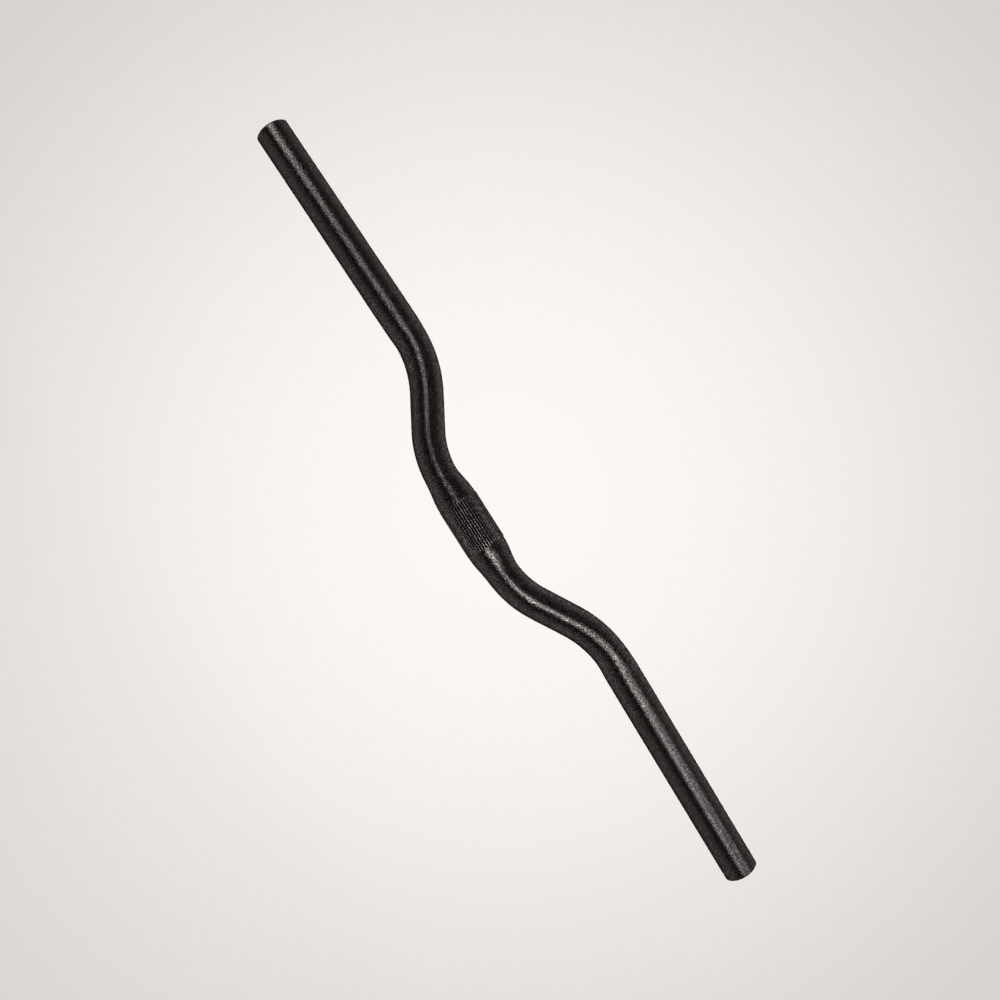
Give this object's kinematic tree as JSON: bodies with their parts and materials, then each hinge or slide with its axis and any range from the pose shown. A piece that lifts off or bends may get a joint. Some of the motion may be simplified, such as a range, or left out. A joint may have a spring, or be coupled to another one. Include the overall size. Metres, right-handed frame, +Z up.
{
  "type": "riser handlebar",
  "caption": "Low riser bicycle handlebar: a hollow bent tube, swaged and knurled at the middle for the stem, rising to level grip ends that sweep back.",
  "frame": {"origin": "centre of the clamped middle, on the tube's axis", "axes": "+X along the bar, +Y to the back of the bicycle, the way the grips sweep, and +Z up, the way the risers lift the grips"},
  "size_m": [0.56, 0.0521, 0.054],
  "materials": {
    "satin_black_aluminium": "satin"
  },
  "bodies": {
    "root": {"handlebar": "satin_black_aluminium"}
  },
  "joints": []
}
